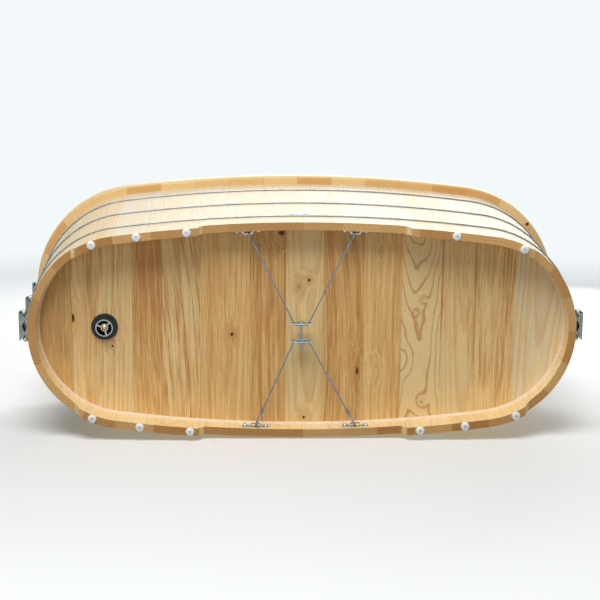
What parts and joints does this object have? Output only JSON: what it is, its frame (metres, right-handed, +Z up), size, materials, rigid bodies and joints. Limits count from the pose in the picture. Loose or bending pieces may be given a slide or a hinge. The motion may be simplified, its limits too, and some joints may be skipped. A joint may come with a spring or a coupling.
{
  "type": "wooden bathtub",
  "caption": "Oval coopered wooden bathtub with flared stave wall, wire hoops drawn by end lugs, rounded rim, crosswise bottom boards, cable brace below and a push-stopper drain.",
  "frame": {"origin": "on the floor under the middle of the tub, at the flats of the glides", "axes": "+X along the tub away from the drain, +Y across towards the side without the oval plate, +Z up"},
  "size_m": [1.598, 0.702, 0.632],
  "materials": {
    "stave_wood": "sanded, clear oiled rubberwood",
    "rim_wood": "sanded, clear oiled rubberwood",
    "board_wood_pale": "planed, clear oiled",
    "board_wood_red": "planed, clear oiled",
    "sealant": "smoothed bead",
    "hoop_wire": "drawn stainless wire",
    "lug_steel": "folded stainless sheet",
    "nut_steel": "bright plated",
    "zinc_steel": "bright zinc plated",
    "cable_wire": "drawn wire rope",
    "ferrule_metal": "pressed, dulled",
    "drain_chrome": "bright chrome plate",
    "drain_brass": "turned brass",
    "drain_rubber": "moulded black rubber",
    "locknut_plastic": "moulded black",
    "glide_plastic": "moulded white",
    "nail_steel": "bright nail",
    "plate_metal": "satin, bare"
  },
  "bodies": {
    "tub": {"back_brace_cable": "cable_wire", "back_brace_plate": "zinc_steel", "back_wall_staves_left": "stave_wood", "back_wall_staves_right": "stave_wood", "bottom_board_01": "board_wood_pale", "bottom_board_02": "board_wood_pale", "bottom_board_03": "board_wood_red", "bottom_board_04": "board_wood_pale", "bottom_board_05": "board_wood_pale", "bottom_board_06": "board_wood_red", "bottom_board_07": "board_wood_pale", "bottom_board_08": "board_wood_red", "bottom_board_09": "board_wood_pale", "bottom_board_10": "board_wood_pale", "bottom_board_11": "board_wood_red", "bottom_board_12": "board_wood_pale", "bottom_board_13": "board_wood_pale", "brace_bolt": "zinc_steel", "cable_ferrules": "ferrule_metal", "cable_saddles": "zinc_steel", "drain_body": "drain_chrome", "drain_cartridge": "drain_brass", "drain_locknut": "locknut_plastic", "drain_top_gasket": "drain_rubber", "drain_under_gasket": "drain_rubber", "foot_glides": "glide_plastic", "foot_nails": "nail_steel", "front_brace_cable": "cable_wire", "front_brace_plate": "zinc_steel", "front_wall_staves_left": "stave_wood", "front_wall_staves_right": "stave_wood", "hoop_lugs": "lug_steel", "hoop_nuts": "nut_steel", "left_wall_staves_back": "stave_wood", "left_wall_staves_front": "stave_wood", "low_hoop_wire": "hoop_wire", "middle_hoop_wire": "hoop_wire", "oval_plate": "plate_metal", "right_wall_staves_back": "stave_wood", "right_wall_staves_front": "stave_wood", "rim_segment_01": "rim_wood", "rim_segment_02": "rim_wood", "rim_segment_03": "rim_wood", "rim_segment_04": "rim_wood", "rim_segment_05": "rim_wood", "rim_segment_06": "rim_wood", "rim_segment_07": "rim_wood", "rim_segment_08": "rim_wood", "rim_segment_09": "rim_wood", "rim_segment_10": "rim_wood", "saddle_screws": "zinc_steel", "sealant_bead": "sealant", "top_hoop_wire": "hoop_wire"},
    "stopper": {"stopper_cap": "drain_chrome", "stopper_seal": "drain_rubber", "stopper_stem": "drain_brass"},
    "tension_washer": {"brace_washer": "zinc_steel"},
    "tension_nut": {"brace_nut": "zinc_steel"}
  },
  "joints": [
    {"name": "stopper_lift", "type": "slide", "parent": "tub", "child": "stopper", "axis": [0, 0, 1], "range_m": [0, 0.009]},
    {"name": "washer_travel", "type": "slide", "parent": "tub", "child": "tension_washer", "axis": [0, 1, 0], "range_m": [0, 0.002]},
    {"name": "nut_turn", "type": "hinge", "parent": "tension_washer", "child": "tension_nut", "pos_m": [-0.006, 0.0376, 0.05378], "axis": [0, 1, 0], "range_deg": [0, 720]}
  ],
  "couplings": [
    {"joint": "nut_turn", "follows": "washer_travel", "rad_per_m": 6283.2}
  ]
}
